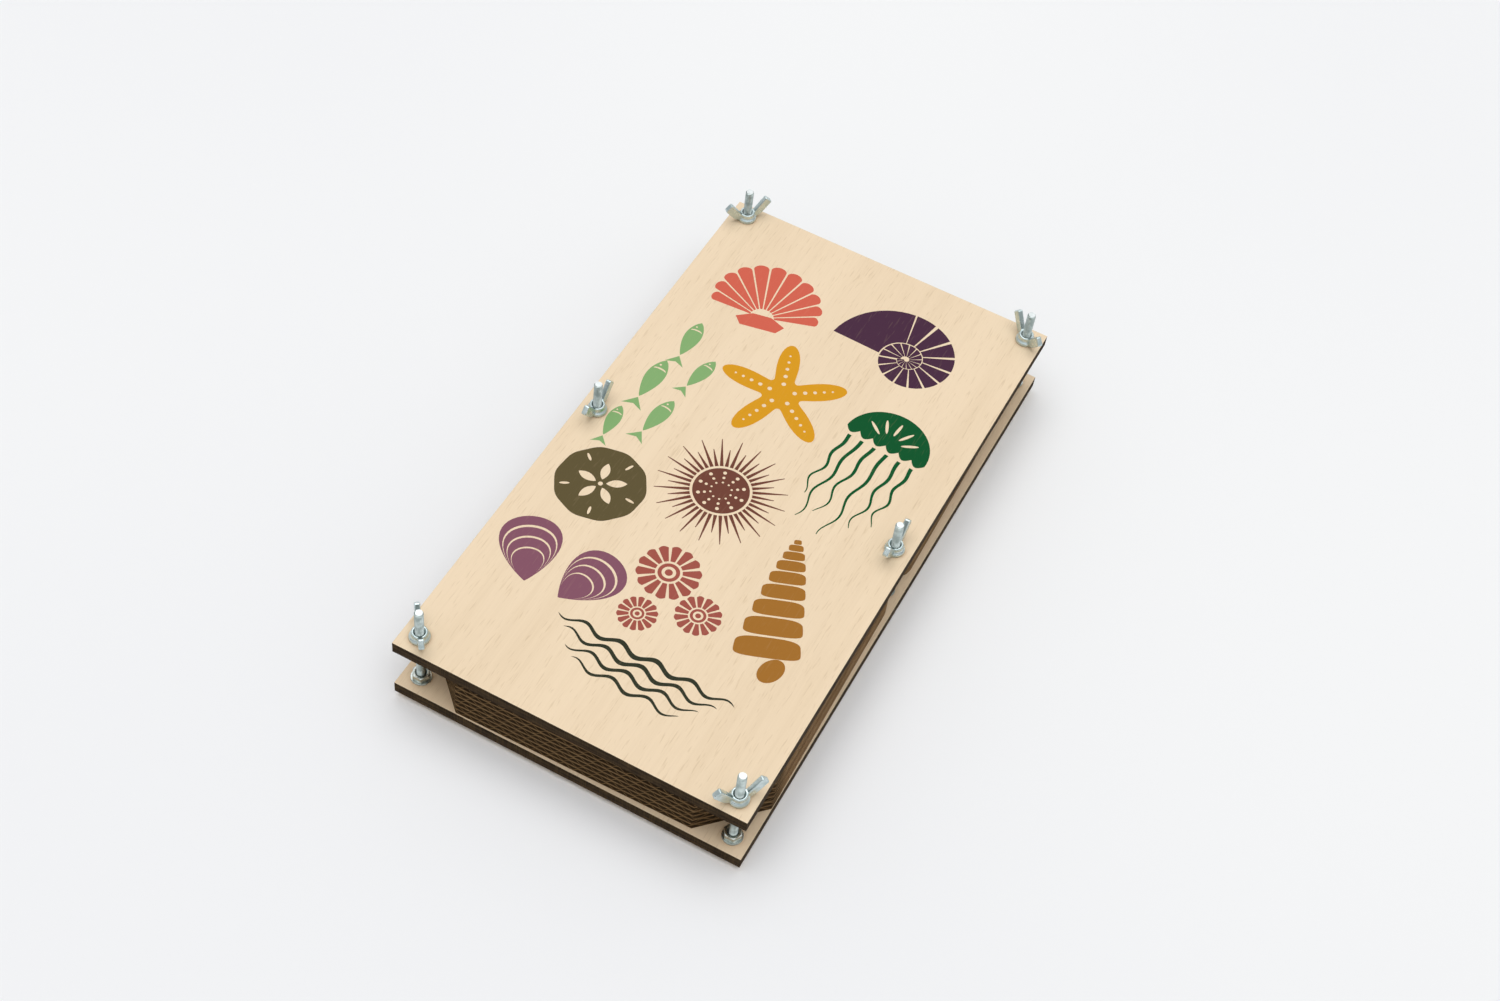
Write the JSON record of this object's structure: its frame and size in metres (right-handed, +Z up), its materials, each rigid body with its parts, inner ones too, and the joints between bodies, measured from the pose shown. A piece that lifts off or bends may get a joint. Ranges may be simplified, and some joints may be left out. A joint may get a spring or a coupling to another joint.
{
  "type": "seaweed press",
  "caption": "Flat press: two plywood boards squeeze a stack of corrugated cards and blotting sheets, drawn together by bolts and wing nuts.",
  "frame": {"origin": "on the table, under the centre of the two boards", "axes": "+X across the boards, +Y along them from the front end to the rear, +Z up through the bolts"},
  "size_m": [0.1641, 0.3037, 0.0551],
  "materials": {
    "plywood": "pale fine-sanded veneer, printed on top, edges browned by the laser",
    "corrugated_card": "matt brown kraft",
    "blotting_paper": "matt off-white",
    "zinc_steel": "zinc plated, semi-bright"
  },
  "bodies": {
    "base": {"bottom_board": "plywood", "bolt_front_left": "zinc_steel", "bolt_front_right": "zinc_steel", "bolt_middle_left": "zinc_steel", "bolt_middle_right": "zinc_steel", "bolt_rear_right": "zinc_steel", "bolt_rear_left": "zinc_steel", "washer_front_left": "zinc_steel", "washer_front_right": "zinc_steel", "washer_middle_left": "zinc_steel", "washer_middle_right": "zinc_steel", "washer_rear_right": "zinc_steel", "washer_rear_left": "zinc_steel", "hex_nut_front_left": "zinc_steel", "hex_nut_front_right": "zinc_steel", "hex_nut_middle_left": "zinc_steel", "hex_nut_middle_right": "zinc_steel", "hex_nut_rear_right": "zinc_steel", "hex_nut_rear_left": "zinc_steel", "card_1": "corrugated_card", "card_2": "corrugated_card", "card_3": "corrugated_card", "card_4": "corrugated_card", "card_5": "corrugated_card", "card_6": "corrugated_card", "card_7": "corrugated_card", "blotter_1": "blotting_paper", "blotter_2": "blotting_paper", "blotter_3": "blotting_paper", "blotter_4": "blotting_paper", "blotter_5": "blotting_paper", "blotter_6": "blotting_paper"},
    "top_board": {"top_board": "plywood"},
    "wing_nut_front_left": {"wing_nut_front_left": "zinc_steel"},
    "wing_nut_front_right": {"wing_nut_front_right": "zinc_steel"},
    "wing_nut_middle_left": {"wing_nut_middle_left": "zinc_steel"},
    "wing_nut_middle_right": {"wing_nut_middle_right": "zinc_steel"},
    "wing_nut_rear_right": {"wing_nut_rear_right": "zinc_steel"},
    "wing_nut_rear_left": {"wing_nut_rear_left": "zinc_steel"}
  },
  "joints": [
    {"name": "top_board_lift", "type": "slide", "parent": "base", "child": "top_board", "axis": [0, 0, 1], "range_m": [0, 0.0126]},
    {"name": "wing_nut_front_left_turn", "type": "hinge", "parent": "top_board", "child": "wing_nut_front_left", "pos_m": [-0.073, -0.142, 0.0379], "axis": [0, 0, 1], "range_deg": [0, 6480]},
    {"name": "wing_nut_front_right_turn", "type": "hinge", "parent": "top_board", "child": "wing_nut_front_right", "pos_m": [0.073, -0.142, 0.0379], "axis": [0, 0, 1], "range_deg": [0, 6480]},
    {"name": "wing_nut_middle_left_turn", "type": "hinge", "parent": "top_board", "child": "wing_nut_middle_left", "pos_m": [-0.073, 0, 0.0379], "axis": [0, 0, 1], "range_deg": [0, 6480]},
    {"name": "wing_nut_middle_right_turn", "type": "hinge", "parent": "top_board", "child": "wing_nut_middle_right", "pos_m": [0.073, 0, 0.0379], "axis": [0, 0, 1], "range_deg": [0, 6480]},
    {"name": "wing_nut_rear_right_turn", "type": "hinge", "parent": "top_board", "child": "wing_nut_rear_right", "pos_m": [0.073, 0.142, 0.0379], "axis": [0, 0, 1], "range_deg": [0, 6480]},
    {"name": "wing_nut_rear_left_turn", "type": "hinge", "parent": "top_board", "child": "wing_nut_rear_left", "pos_m": [-0.073, 0.142, 0.0379], "axis": [0, 0, 1], "range_deg": [0, 6480]}
  ],
  "couplings": [
    {"joint": "wing_nut_front_left_turn", "follows": "top_board_lift", "rad_per_m": 8976},
    {"joint": "wing_nut_front_right_turn", "follows": "top_board_lift", "rad_per_m": 8976},
    {"joint": "wing_nut_middle_left_turn", "follows": "top_board_lift", "rad_per_m": 8976},
    {"joint": "wing_nut_middle_right_turn", "follows": "top_board_lift", "rad_per_m": 8976},
    {"joint": "wing_nut_rear_right_turn", "follows": "top_board_lift", "rad_per_m": 8976},
    {"joint": "wing_nut_rear_left_turn", "follows": "top_board_lift", "rad_per_m": 8976}
  ]
}
